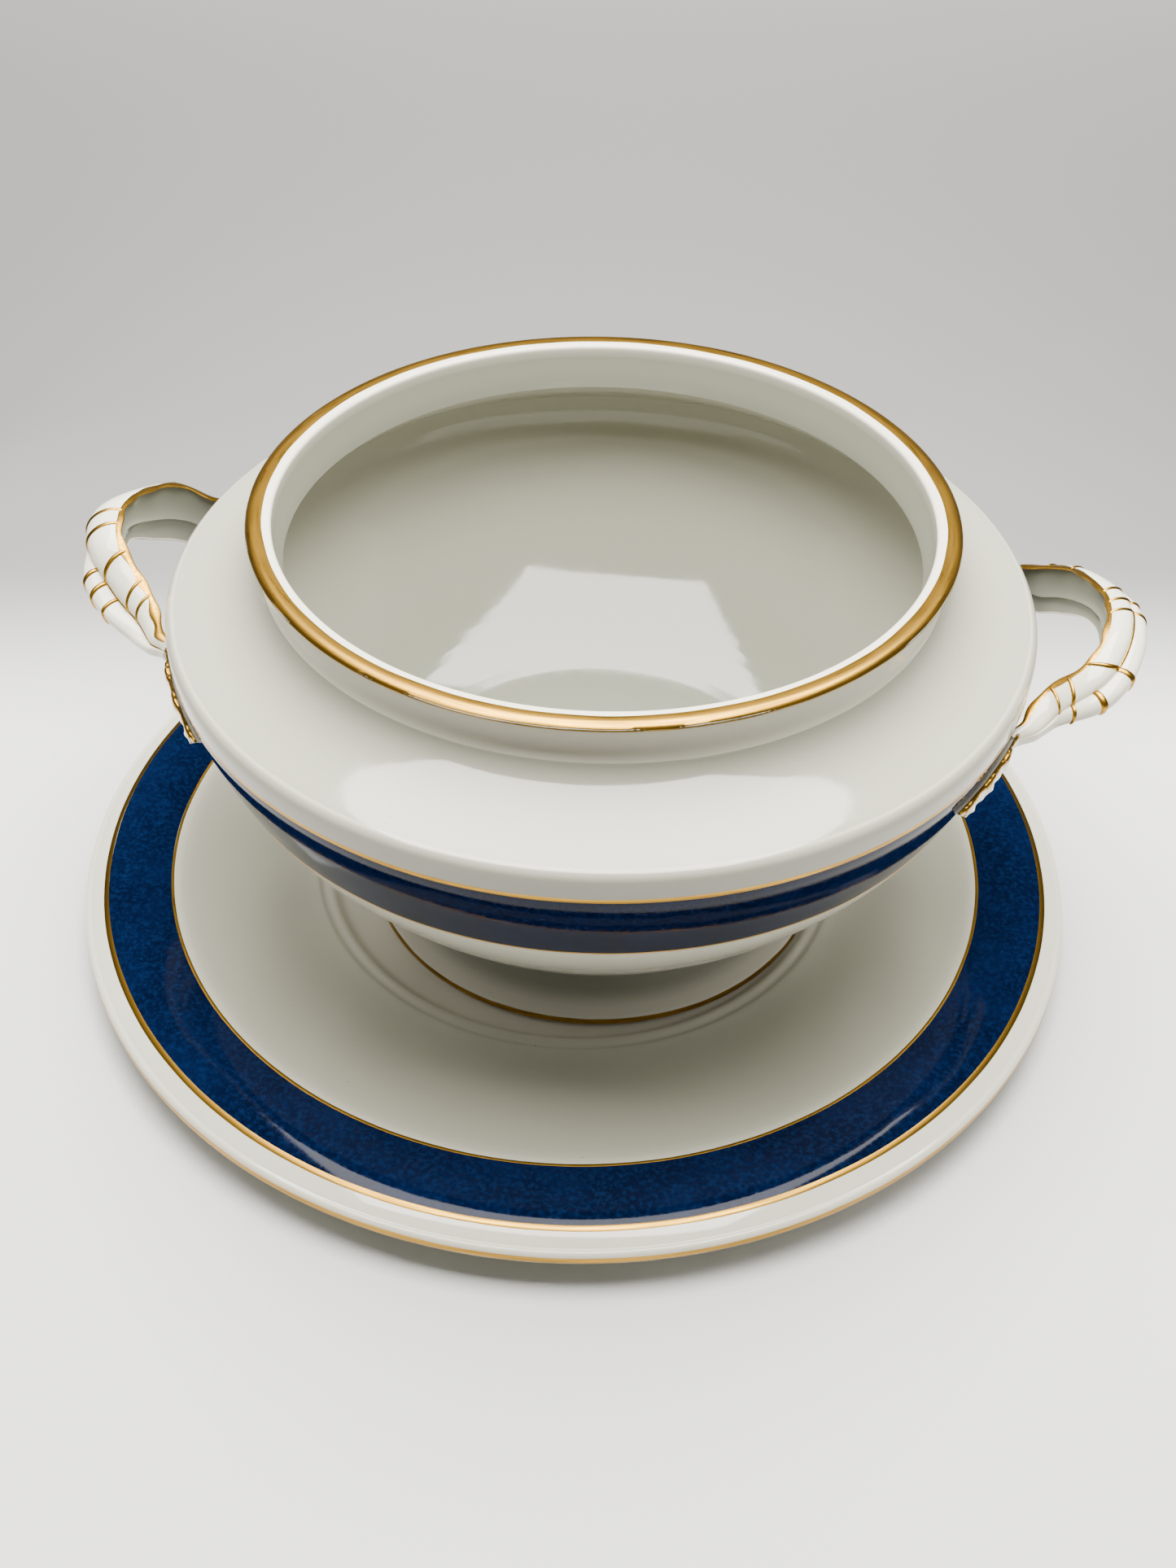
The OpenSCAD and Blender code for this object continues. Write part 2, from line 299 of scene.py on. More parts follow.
def turned(name, outline, middle, radius, seed, body, nodes, material, pooled_and_shaded, ring=False):
    """A surface of revolution: the outline (r, z) carried round THETA. An outline that starts and ends on the
    axis is closed there by one point at each pole; a ring's outline is joined to its own start. The function
    pooled_and_shaded gives how dark and green the glaze is at (r, z), from 0 to 1: partly thick glaze, partly
    painted shade."""
    line = spaced(np.vstack([outline, outline[:1]]) if ring else outline)
    line = line[:-1] if ring else line[1:-1]
    r, z = thrown(line[:, :1], line[:, 1:], radius, seed)
    points = spun(r, z, middle)
    n = len(line)
    # Painted shade and thick glaze, one value per point
    pool_and_shade = np.repeat(pooled_and_shaded(*line.T), AROUND)
    if ring:
        return piece(name, points, [grid_faces(n, AROUND, wrap_rows=True)], body, nodes, material, "glaze",
                     pool_and_shade=pool_and_shade)
    pool_and_shade = np.append(pool_and_shade, pooled_and_shaded(*outline[[0, -1]].T))
    poles = np.array([[middle[0], middle[1], middle[2] + outline[k][1]] for k in (0, -1)])
    j, last = np.arange(AROUND), (n - 1) * AROUND
    top = np.stack([np.full(AROUND, n * AROUND), (j + 1) % AROUND, j], -1)
    low = np.stack([np.full(AROUND, n * AROUND + 1), last + j, last + (j + 1) % AROUND], -1)
    return piece(name, np.concatenate([points.reshape(-1, 3), poles]), [grid_faces(n, AROUND), top, low],
                 body, nodes, material, "glaze", pool_and_shade=pool_and_shade)


def nearest(outline, r, z):
    """Distance along the outline of its point nearest to (r, z)."""
    fine = np.linspace(0.0, run(outline)[-1], 40 * len(outline))
    line = np.stack([np.interp(fine, run(outline), outline[:, k]) for k in (0, 1)], -1)
    return fine[np.argmin(np.hypot(line[:, 0] - r, line[:, 1] - z))]


def painted(name, outline, start, end, middle, radius, seed, body, material, slot, lift=0.06, drift=0.08,
            bite=0.25):
    """A fired-on band: the strip of the outline from distance start to end, carried round THETA. Its top stands
    lift above the clay and thins to nothing at both edges, its underside is bite under the surface, and its
    edges drift like a brush line."""
    across = np.linspace(0.0, 1.0, max(5, int((end - start) / 0.8) + 3))[:, None]
    low = start + drift * waver(seed + 7, (3, 8, 17, 31))
    high = end + drift * waver(seed + 8, (4, 9, 19, 37))
    at = low + (high - low) * across
    where = run(outline)

    def on(distance):
        return np.stack([np.interp(distance, where, outline[:, k]) for k in (0, 1)])

    r, z = on(at)
    ahead = on(at + 0.3) - on(at - 0.3)
    size = np.hypot(*ahead)
    side_r, side_z = -ahead[1] / size, ahead[0] / size
    rise = lift * np.minimum(1.0, 7.0 * np.minimum(across, 1.0 - across)) ** 0.5
    r, z = thrown(r, z, radius, seed)
    top = spun(r + rise * side_r, z + rise * side_z, middle)
    under = spun(r - bite * side_r, z - bite * side_z, middle)[::-1]
    points = np.concatenate([top, under])
    return piece(name, points, [grid_faces(len(points), AROUND, wrap_rows=True)], body, (), material, slot)


def stand_outline(s):
    """Outline of the stand from the middle of its well over the rim to the middle of its underside."""
    well, floor, crest, rim = (v / MM for v in (s.well_radius, s.well_height, s.crest, s.radius))
    ring, ring_in = s.ring_radius / MM, (s.ring_radius - s.ring_width) / MM
    step = [well, floor]
    # The well's step and the two low beads outside it, measured from the well's edge and floor
    beads = np.vstack([
        bezier([-5, -0.1], [-2.4, -0.1], [-1.8, 1.95], [0, 1.95], 12),
        bezier([0, 1.95], [0.9, 1.95], [1.3, 1.45], [2.2, 1.45], 8)[1:],
        bezier([2.2, 1.45], [3, 1.45], [3.5, 2.2], [4.6, 2.2], 8)[1:],
        bezier([4.6, 2.2], [5.8, 2.2], [7, 1.9], [8.6, 2], 8)[1:],
    ])
    return np.vstack([
        [[0.0, floor]],
        beads + step,
        bezier([well + 8.6, floor + 2], [well + 26, floor + 2.7], [well + 42, floor + 6.2],
               [144, crest - 1.8], 20)[1:],
        bezier([150, crest - 0.9], [158, crest + 0.2], [165, crest + 0.2], [rim - 2.2, crest - 3.7], 16),
        arc(rim - 1.8, crest - 5.4, 1.8, 70, 0, 8),
        arc(rim - 1.8, crest - 7.2, 1.8, 0, -90, 8),
        bezier([160, crest - 7.4], [146, crest - 8.2], [130, crest - 14], [ring + 7, 5.2], 14),
        bezier([ring + 3, 4.6], [ring, 3.6], [ring, 1.6], [ring - 1, 0.0], 8),
        [[ring_in, 0.0]],
        bezier([ring_in - 0.6, 1.6], [ring_in - 1, 4], [ring_in - 2, 4.8], [ring_in - 5, 4.8], 8),
        [[0.0, 4.8]],
    ])


def bowl_outline(s):
    """Outline of the bowl: floor, inside wall, the joint under the collar, shoulder, side and underside."""
    body, wall, mouth = (v / MM for v in (s.body_radius, s.wall, s.mouth_radius))
    joint = TUREEN_HEIGHT - 15.1
    return np.vstack([
        [[0.0, 32.7], [30.0, 33.3]],
        bezier([60, 36.2], [90, 43.5], [107, 65], [119.4, 86.4], 16),
        bezier([119.4, 86.4], [127, 98], [body - wall, 110], [body - wall - 1.4, 117.4], 12)[1:],
        bezier([body - wall - 4.6, 120.6], [121, 126], [106, 128], [mouth + 0.4, joint], 14),
        [[106.0, joint]],
        bezier([106, joint], [110.4, 130.6], [123, 129], [body - 3.6, 125.7], 24)[1:],
        bezier([body - 3.6, 125.7], [body - 0.8, 124.8], [body, 123.4], [body, 120.5], 12)[1:],
        bezier([body, 120.5], [body, 117.8], [body - 0.4, 114.3], [body - 1, 112], 10)[1:],
        bezier([body - 1, 112], [133.4, 103.5], [130, 94.3], [126.3, 85.8], 16)[1:],
        bezier([126.3, 85.8], [119.9, 71], [104.5, 52.4], [91.2, 38.4], 20)[1:],
        bezier([91.2, 38.4], [84.5, 30.7], [79, 26.4], [66, 26.2], 14)[1:],
        [[0.0, 26.2]],
    ])


def collar_outline(s):
    """Outline of the collar: inside wall, lip, the flattened roll over the rim, and the neck to the bowl."""
    wide, high, mouth = s.roll_width / MM / 2, s.roll_height / MM / 2, s.mouth_radius / MM
    joint, top = TUREEN_HEIGHT - 15.1, TUREEN_HEIGHT
    roll = arc(0.0, 0.0, 1.0, 100, -150, 40) * [wide, high] + [RIM_RADIUS - wide, top - high]
    return np.vstack([
        bezier([mouth, joint], [mouth + 0.2, joint + 4], [100.6, top - 7], [101.2, top - 3], 10),
        arc(102.7, top - 1.8, 1.5, 180, 90, 8),
        roll,
        bezier(roll[-1], [103.2, top - 4], [103.6, joint + 3], [106, joint], 12)[1:],
    ])


def foot_outline(s):
    """Outline of the pedestal foot: the hollow side down to the thick edge, the ground rim and the inside."""
    foot = s.foot_radius / MM
    return np.vstack([
        bezier([64, 26.2], [60, 20], [59, 11.5], [69, 7], 18),
        bezier([70, 6.6], [73, 5.3], [75, 5], [foot - 1.2, 3.8], 8),
        arc(foot - 2, 2, 2, 40, -90, 12),
        [[foot - 8, 0.0]],
        bezier([foot - 9, 0.6], [62, 2.6], [54, 7], [53, 26.2], 14),
    ])


# Handles --------------------------------------------------------------

LEFT, RIGHT = -1, 1
# Points that each handle's inner top edge goes through, from its back root to its front one: outwards from the
# tureen's axis, towards the back, and up from its foot
EDGE = {
    RIGHT: [(130, 44, 114.5), (138, 37, 119.5), (147, 28, 126), (153, 13, 131.5), (156, 0, 133.6),
            (154.5, -15, 133), (149, -26, 128.5), (137.5, -28.5, 117.5), (130, -43, 111)],
    LEFT: [(129, 43, 112.5), (138, 35, 117.5), (147.5, 27.5, 126.8), (154, 14, 131.8), (156, 0, 134),
           (153, -13, 132), (147.5, -19, 125.5), (138.5, -28.5, 118), (131, -45, 114.5)],
}
# Sections of the handle at STATIONS, from the front root at -1 to the back root at 1. Each row is the seam
# between the reeds, how far the upper reed's crown stands out, then the lower reed's outermost point, its
# underside, the crease of the inner face and the inner bottom edge. Points are outwards and down from the inner
# top edge
STATIONS = np.array([-1, -0.8, -0.65, -0.55, -0.44, -0.335, -0.25, -0.15, 0, 0.25, 0.5, 0.7, 1])
SECTIONS = {
    RIGHT: np.array([
        [2.4, 1.2, 0.8, 2.6, 2.6, 1.2, 4.6, 0, 2.5, 0.3, 4.2],
        [6.2, 3.2, 1.5, 6.9, 5.2, 4.6, 7.3, 0.3, 4, 0.8, 6.6],
        [7.1, 4.8, 1.9, 9.0, 7.2, 6.4, 9.8, 0.2, 5, 1, 8.8],
        [7.1, 4.8, 2, 10.4, 7.4, 7.4, 10.8, 0, 6, 0.5, 10],
        [7.4, 3.6, 2, 12.6, 6.6, 9, 11, -0.3, 6.5, 0, 10.8],
        [7.2, 2.8, 1.8, 12.4, 5.4, 9.6, 11.4, -0.4, 6.9, -0.4, 11.1],
        [7.2, 2.4, 1.8, 12.2, 4.8, 9.6, 11.8, -0.5, 7.2, -0.6, 11.4],
        [7.1, 2, 1.7, 11.8, 4.6, 9, 12, -0.6, 7.5, -0.8, 11.6],
        [7.2, 2, 1.7, 11.5, 5, 8, 12.4, -0.6, 8, -1, 12],
        [7.4, 3.5, 2.0, 10.4, 7, 6.5, 14, -0.4, 8.8, -0.5, 13.2],
        [7, 5.5, 2.2, 9, 10, 5, 17.4, -0.6, 11, -1, 17],
        [6.5, 6, 2, 8, 10.5, 4, 18.4, -0.8, 12, -1.4, 18],
        [4, 4, 1.2, 4.5, 7, 2, 11, 0, 6, 0, 10]]),
    LEFT: np.array([
        [1.8, 2.4, 0.8, 2.4, 3.4, 1, 5.5, 0, 2.5, 0.2, 5],
        [4.2, 6, 1.8, 8, 8, 5.5, 10.5, 0.2, 5, 0.8, 9.5],
        [5.8, 6.2, 2.2, 11.5, 8.4, 8.5, 12.4, 0, 6.5, 0.8, 11.5],
        [6.8, 7.2, 2.5, 12.9, 9.4, 9.8, 13.9, -0.1, 7.3, 0.7, 12.8],
        [7.6, 8, 2.8, 14, 10.2, 11, 15.2, -0.2, 8, 0.5, 14],
        [8.4, 7.4, 3, 14.8, 10.4, 11.5, 16, -0.3, 8.5, 0.2, 15],
        [9.2, 7.8, 3.4, 13.2, 10.5, 10.5, 16.5, -0.4, 8.5, 0, 15],
        [10.8, 8.8, 4.0, 11.2, 11.8, 8.5, 16, -0.4, 8, 0, 14],
        [12, 9, 4.2, 11.2, 12.4, 7, 15, -0.4, 8, 0, 12.5],
        [10, 9, 2.8, 9.6, 13, 5.5, 19.5, -0.4, 11.5, -0.5, 19],
        [8, 8.5, 2, 9, 14, 4.5, 23.5, -0.5, 14, -0.7, 23],
        [7, 8, 1.8, 8.5, 13.5, 4, 23.5, -0.6, 14, -0.8, 23],
        [4, 5, 1, 4.5, 9, 2, 13, 0, 7, 0, 12]]),
}
# Rings on the upper and the lower reeds: where each starts on the inner edge, and how far it slants towards the
# outermost point by the time it reaches the seam or the underside
UPPER_RINGS = {
    RIGHT: [(0.71, 0.0), (0.535, 0.02), (0.155, 0.05), (0.045, 0.05), (-0.055, 0.06), (-0.44, 0.10),
            (-0.555, 0.0), (-0.655, 0.0)],
    LEFT: [(0.5, 0.0), (-0.03, -0.05), (-0.15, -0.02), (-0.335, -0.03), (-0.52, -0.05), (-0.62, -0.05)],
}
LOWER_RINGS = {
    RIGHT: [(0.10, 0.0), (0.005, -0.03), (-0.345, 0.03), (-0.46, 0.02), (-0.56, 0.0)],
    LEFT: [(-0.285, -0.03), (-0.36, -0.03), (-0.46, -0.03)],
}
# Where the seam between the reeds is gilded
GILT_SEAM = {RIGHT: (-0.34, 0.01), LEFT: (-0.97, -0.36)}


def through(points, n):
    """n points evenly along the centripetal Catmull-Rom curve through points, and the curve's length."""
    p = np.asarray(points, float)
    q = np.vstack([2 * p[0] - p[1], p, 2 * p[-1] - p[-2]])
    knots = np.concatenate([[0], np.cumsum(np.sqrt(np.linalg.norm(np.diff(q, axis=0), axis=1)))])
    t = np.linspace(knots[1], knots[-2], 24 * len(p))
    i = np.clip(np.searchsorted(knots, t, side="right") - 1, 1, len(q) - 3)
    k = [knots[i + o][:, None] for o in (-1, 0, 1, 2)]
    t = t[:, None]

    def between(a, b, start, end):
        return ((end - t) * a + (t - start) * b) / (end - start)

    a = [between(q[i + o], q[i + o + 1], k[o + 1], k[o + 2]) for o in (-1, 0, 1)]
    curve = between(between(a[0], a[1], k[0], k[2]), between(a[1], a[2], k[1], k[3]), k[1], k[2])
    at = run(curve)
    even = np.linspace(0, at[-1], n)
    return np.stack([np.interp(even, at, curve[:, c]) for c in range(3)], -1), at[-1]


def blurred(values, width):
    """Each column of values averaged along the rows with a bell of that width, in rows."""
    reach = int(3 * width)
    bell = np.exp(-0.5 * (np.arange(-reach, reach + 1) / width) ** 2)
    padded = np.pad(values, ((reach, reach), (0, 0)), mode="edge")
    return np.stack([np.convolve(c, bell / bell.sum(), mode="valid") for c in padded.T], -1)


class Handle:
    """One handle's inner top edge, its outward direction and its sections, by s: -1 at the front root, 1 at the
    back root."""

    def __init__(self, side):
        self.side = side
        self.edge, self.length = through(EDGE[side], 241)
        along = np.gradient(self.edge, axis=0)
        heading = blurred(np.unwrap(np.arctan2(along[:, 1], along[:, 0]))[:, None], 12)[:, 0]
        self.out = np.stack([-np.sin(heading), np.cos(heading), 0 * heading], -1)
        self.grid = np.linspace(-1, 1, 201)
        rows = np.stack([np.interp(self.grid, STATIONS, c) for c in SECTIONS[side].T], -1)
        self.rows = blurred(rows, 3.5)

    def at(self, values, s):
        """Values along the edge, read at s."""
        return np.stack([np.interp(-s, np.linspace(-1, 1, len(values)), c) for c in values.T], -1)

    def sections(self, s):
        """The outlines of the upper reed's outside, the lower reed's outside, the lower and the upper half of
        the inner face, and the joint between the reeds, as points (outwards, down) at each s."""
        v = np.stack([np.interp(s, self.grid, c) for c in self.rows.T], -1)
        seam, crown = v[:, :2], v[:, 2:3]
        outer, low, crease, inner = (v[:, k : k + 2] for k in (3, 5, 7, 9))
        edge = 0 * seam
        proud = np.stack([seam[:, 1], -seam[:, 0]], -1) / np.linalg.norm(seam, axis=-1, keepdims=True)

        def at(outwards, down):
            return np.stack([outwards, down], -1)

        (so, sd), (oo, od), (lo, ld), (co, cd), (io, idn) = (p.T for p in (seam, outer, low, crease, inner))
        upper = bezier(edge, 0.2 * seam + 1.2 * crown * proud, 0.85 * seam + 1.45 * crown * proud, seam, 22)
        lower = np.concatenate([
            bezier(seam, at(so + 0.5 * (oo - so) + 0.5, sd - 0.6), at(oo, od - 0.55 * (od - sd)),
                   outer, 14, False),
            bezier(outer, at(oo, od + 0.55 * (ld - od)), at(lo + 0.5 * (oo - lo), ld), low, 12, False),
            bezier(low, at(lo - 0.4 * (lo - io), ld + 0.3), at(io + 0.3, idn + 1.2), inner, 8)], 1)
        lobe_low = bezier(inner, at(io + 0.8, idn - 0.3 * (idn - cd)), at(co + 1.2, cd + 0.3 * (idn - cd)),
                          crease, 12)
        lobe_up = bezier(crease, at(co + 1.6, 0.7 * cd), at(0.6 + 0 * cd, 0.25 * cd), edge, 14)
        joint = bezier(seam, 0.7 * seam + 0.3 * crease, 0.3 * seam + 0.7 * crease, crease, 5)
        return upper, lower, lobe_low, lobe_up, joint

    def place(self, s, q):
        """Points, in the tureen's frame, of q (outwards, down) from the edge at s. The roots sink 2.5 mm into
        the bowl."""
        sink = 2.5 * smooth(np.abs(s), 0.88, 1.0)
        out = self.at(self.out, s)[:, None]
        down = np.array([0.0, 0.0, -1.0])
        return self.at(self.edge, s)[:, None] + out * (q[..., :1] - sink[:, None, None]) + down * q[..., 1:]

    def world(self, points):
        """From the tureen's own frame to the frame of all the parts; the left handle is on the other side."""
        return points * [self.side, 1.0, 1.0] + STOOD


def hand_worked(points, seed, amount=0.12):
    """Points moved by a smooth ripple: amount times the mean of four sine waves of 9 to 25 mm, each in a random
    direction, along a fixed slant."""
    rng = np.random.default_rng(seed)
    ripple = 0.0
    for wave in (25.0, 17.0, 12.0, 9.0):
        way = rng.normal(size=3)
        ripple = ripple + np.sin(points @ (way / np.linalg.norm(way)) * 2 * np.pi / wave + rng.uniform(0, 6.28))
    return points + amount * 0.25 * ripple[..., None] * np.array([0.6, -0.5, 0.6])


def reed(handle, lower, name, nodes, material):
    """One reed: its closed section, carried along the edge. Its inner faces are darker: painted shade and thick
    glaze.
    """
    s = np.linspace(1, -1, 201)
    upper, under, lobe_low, lobe_up, joint = handle.sections(s)
    if lower:
        loop = np.concatenate([under, lobe_low[:, 1:], joint[:, ::-1][:, 1:-1]], 1)
    else:
        loop = np.concatenate([upper, joint[:, 1:], lobe_up[:, 1:-1]], 1)
    outside = (under if lower else upper).shape[1]
    # Inner faces get full painted shade, with thick glaze
    pool_and_shade = np.append(np.tile(np.arange(loop.shape[1]) >= outside, len(s)), [0, 0])
    points, faces = solid_strip(hand_worked(handle.world(handle.place(s, loop)), 5 + lower))
    return piece(name, points, faces, "tureen", nodes, material, "glaze", sharp=50.0, pool_and_shade=pool_and_shade)


def tube(line, across, up, wide, high, sides=12):
    """Sections of a round-edged strip along a line: an ellipse of half sizes wide along across and high along
    up, shrunk to a point at both ends."""
    a = np.linspace(0, 2 * np.pi, sides, endpoint=False)
    t = np.linspace(0, 1, len(line))
    fade = np.sqrt(np.clip(np.minimum(t, 1 - t) * 25, 0.02, 1.0))[:, None, None]
    return line[:, None] + fade * (
        np.cos(a)[None, :, None] * across[:, None] * wide + np.sin(a)[None, :, None] * up[:, None] * high)


def ring_strip(handle, start, slant, lower, half, rise):
    """A gilded ring: the strip of the reed's outside between s - half and s + half, where s runs from start to
    start + slant round the reed. Its middle stands rise above the reed and its edges meet it."""
    around = np.linspace(0.0, 1.0, 23 if not lower else 30)
    w = np.linspace(-1.0, 1.0, 7)
    step = 2.0 * half / handle.length
    rows = []
    for edge in w:
        s = start + slant * around + edge * step
        upper, under, *_ = handle.sections(s)
        line = (under[:, : len(around)] if lower else upper)[np.arange(len(around)), np.arange(len(around))]
        rows.append(handle.place(s, line[:, None])[:, 0])
    sheet = np.stack(rows, 1)
    normal = np.cross(np.gradient(sheet, axis=0), np.gradient(sheet, axis=1))
    normal /= np.linalg.norm(normal, axis=-1, keepdims=True)
    middle = handle.place(start + slant * around, np.full((len(around), 1, 2), 4.0))[:, 0]
    if ((sheet[:, 3] - middle) * normal[:, 3]).sum() < 0:
        normal = -normal
    fade = np.clip(12 * np.minimum(around + 0.06, 1.06 - around), 0.0, 1.0)[:, None, None]
    top = sheet + normal * (rise * (1 - w**2)[None, :, None] * fade + 0.02)
    under = (sheet - 0.5 * normal)[:, ::-1]
    return solid_strip(np.concatenate([top, under], 1))


def merged(parts):
    """Several (points, faces) as one."""
    points, faces, first = [], [], 0
    for p, f in parts:
        points.append(np.asarray(p).reshape(-1, 3))
        faces += [g + first for g in f]
        first += len(points[-1])
    return np.concatenate(points), faces


def bowl_radius(height, settings):
    """Outer radius of the bowl at a height below its shoulder."""
    line = bowl_outline(settings)
    side = line[int(np.argmax(line[:, 0])) :]
    side = side[(side[:, 1] <= 120.0) & (side[:, 1] >= 40.0)][::-1]
    return np.interp(height, side[:, 1], side[:, 0])


# Each leaf's upper edge: where it starts and ends round the bowl, in degrees from the handle, and its height at
# the start and how far it falls
LEAF_EDGE = {RIGHT: (17.0, 33.2, 111.2, 5.5), LEFT: (17.0, 36.0, 112.6, 5.0)}


def leaf_sheet(side, front, bowl, leaf, u, drop, rise):
    """Points of a leaf on the bowl: u from its root at 0 to its tip at 1, drop from 0 at its upper edge to 1 at
    its lower edge, rise out from the bowl in millimetres. The upper edge falls with u to the power 2.2 and has
    six teeth, half a sine wave each, that crowd towards the tip; the width is the leaf's times
    sqrt(1 - |(u - 0.45) / 0.56| ^ 2.5)."""
    start, end, height, fall = LEAF_EDGE[side]
    teeth = 0.55 * np.abs(np.sin(np.pi * (5.5 * u + 0.6 * u * u))) + 0.16 * np.sin(2 * np.pi * 13 * u + 1.0)
    wide = leaf.leaf_width / MM * np.sqrt(np.clip(1 - np.abs((u - 0.45) / 0.56) ** 2.5, 0.04, 1))
    z = height - fall * u**2.2 + teeth * (1 - drop) - wide * drop
    turn = np.radians(start + (end - start) * u - 1.5 * drop) * (-1 if front else 1)
    r = bowl_radius(z, bowl) + rise
    return np.stack([side * r * np.cos(turn), r * np.sin(turn), z], -1) + STOOD


def leaf_rise(leaf, u, drop):
    """How far the leaf's face stands out from the bowl: a belly below the upper edge, thinning to the lower
    one, with a raised vein and creases beside it."""
    body = 0.3 + 0.4 * smooth(1 - drop, 0.0, 0.5) + 0.4 * np.sin(np.pi * np.clip(drop, 0, 1) ** 0.7)
    body = body * (1 - 0.2 * u) * (0.7 + 0.3 * smooth(u, 0.0, 0.4))
    lump = 0.09 * np.sin(2 * np.pi * 3.5 * u + 0.6)
    vein = 0.35 * np.exp(-(((drop - 0.45) / 0.06) ** 2))
    crease = 0.22 * np.cos(2 * np.pi * (7.5 * u + 1.2 * drop)) * smooth(drop, 0.0, 0.3)
    return leaf.leaf_rise / MM * (body + lump) + vein + crease


def leaf(side, front, bowl, settings):
    """A leaf's closed solid: its face, and its back, which is sunk into the bowl but stands clear of it under
    the upper edge."""
    u, drop = np.meshgrid(np.linspace(0.0, 1.0, 121), np.linspace(1.0, 0.0, 25), indexing="ij")
    face = leaf_sheet(side, front, bowl, settings, u, drop, leaf_rise(settings, u, drop))
    hollow = -0.9 + 2.3 * smooth(0.35 - drop, 0.0, 0.3)
    back = leaf_sheet(side, front, bowl, settings, u, drop, hollow)[:, ::-1]
    return solid_strip(np.concatenate([face, back], 1))


def leaf_gilding(side, front, bowl, settings):
    """Gilding on a leaf: it covers the thick upper edge, laps about 0.8 mm over the face, and covers
    the tip."""
    u = np.linspace(0.0, 1.0, 161)
    lap = 0.07 + 0.02 * np.sin(40 * u) + 0.9 * smooth(u, 0.93, 1.0)
    top = leaf_rise(settings, u, 0.0 * u)
    section = []
    for drop, rise in (
            (lap, leaf_rise(settings, u, lap) + 0.03), (0.4 * lap, leaf_rise(settings, u, 0.4 * lap) + 0.12),
            (-0.01, top + 0.1), (-0.035, top - 0.3), (-0.04, 0.5 * top + 0.6), (-0.03, 1.1 + 0 * u),
            (0.05, 1.2 + 0 * u), (0.06, 0.5 * top + 0.6)):
        section.append(leaf_sheet(side, front, bowl, settings, u, drop + 0 * u, rise))
    return solid_strip(np.stack(section, 1))


# Finishes -------------------------------------------------------------


def add(tree, kind, inputs=(), **settings):
    """Adds a node, sets its properties, then its inputs: a socket is linked and any other value is set."""
    made = tree.nodes.new(kind)
    for name, value in settings.items():
        setattr(made, name, value)
    for name, value in dict(inputs).items():
        if isinstance(value, bpy.types.NodeSocket):
            tree.links.new(value, made.inputs[name])
        else:
            made.inputs[name].default_value = value
    return made


def new_material(name):
    """A material with a Principled shader and Object coordinates: (material, tree, shader, place)."""
    material = bpy.data.materials.new(name)
    material.use_nodes = True
    tree = material.node_tree
    tree.nodes.clear()
    shader = add(tree, "ShaderNodeBsdfPrincipled")
    add(tree, "ShaderNodeOutputMaterial", {"Surface": shader.outputs[0]})
    return material, tree, shader, add(tree, "ShaderNodeTexCoord").outputs["Object"]


def noise(tree, place, size, detail, roughness=0.5):
    """Noise whose features are size millimetres across."""
    return add(tree, "ShaderNodeTexNoise", {"Vector": place, "Scale": 1000.0 / size, "Detail": detail,
                                            "Roughness": roughness}).outputs["Fac"]


def ramp(tree, value, low, high, start, end):
    """start where value is under low, end where it is over high, and a straight line between."""
    return add(tree, "ShaderNodeMapRange", {0: value, 1: low, 2: high, 3: start, 4: end}).outputs[0]


def calculated(tree, operation, a, b):
    """What the operation makes of a and b."""
    return add(tree, "ShaderNodeMath", {0: a, 1: b}, operation=operation).outputs[0]


def mixed(tree, share, first, second):
    """The first colour where share is 0 and the second where it is 1. Each is linear RGB or a socket."""
    first, second = (c if isinstance(c, bpy.types.NodeSocket) else (*c, 1) for c in (first, second))
    return add(tree, "ShaderNodeMix", {0: share, 6: first, 7: second}, data_type="RGBA").outputs[2]


def bumped(tree, height, depth, normal=None):
    """A normal for a surface whose height goes from 0 to depth millimetres."""
    sockets = {"Strength": 1.0, "Distance": depth * MM, "Height": height}
    if normal:
        sockets["Normal"] = normal
    return add(tree, "ShaderNodeBump", sockets).outputs[0]


def finish(tree, shader, colour, roughness, normal):
    """Links what varies over the surface."""
    for name, socket in (("Base Color", colour), ("Roughness", roughness), ("Normal", normal)):
        tree.links.new(socket, shader.inputs[name])


def glaze(name, tint, pooled_and_shaded, rough=0.06):
    """Clear lead glaze over off-white earthenware, dipped and fired: a thick glassy skin with soft dips a
    hand's width apart, orange peel of about 3 mm and a few pinholes that show the darker body. Where the
    piece's pool_and_shade is over 0 it is darker and greener: partly as thick glaze is in hollows, partly as
    painted shade. So it is inside the bowl and the collar, on the foot and under the bowl, and on the
    handles' inner faces. The slope of the dish and the bowl's rounded edge have some of it too, as painted
    shade."""
    material, tree, shader, place = new_material(name)
    plain = mixed(tree, noise(tree, place, 45, 2.0), tint, np.array(tint) * 0.94)
    # Darker, greener glaze where the attribute is high: partly thick glaze, partly painted shade
    thick = add(tree, "ShaderNodeAttribute", attribute_name="pool_and_shade").outputs["Fac"]
    base = mixed(tree, thick, plain, pooled_and_shaded)
    cells = add(tree, "ShaderNodeTexVoronoi", {"Vector": place, "Scale": 1000.0 / 11})
    chance = add(tree, "ShaderNodeSeparateColor", {0: cells.outputs["Color"]}).outputs[0]
    size = ramp(tree, chance, 0.55, 1.0, 0.0, 0.034)
    speck = calculated(tree, "LESS_THAN", cells.outputs["Distance"], size)
    colour = mixed(tree, calculated(tree, "MULTIPLY", speck, 0.62), base, linear("#75685A"))
    dull = ramp(tree, noise(tree, place, 6, 4.0), 0.35, 0.75, rough, rough + 0.06)
    dips = bumped(tree, noise(tree, place, 34, 1.0), 0.22)
    finish(tree, shader, colour, dull, bumped(tree, noise(tree, place, 3.2, 2.0), 0.012, dips))
    shader.inputs["IOR"].default_value = 1.52
    return material


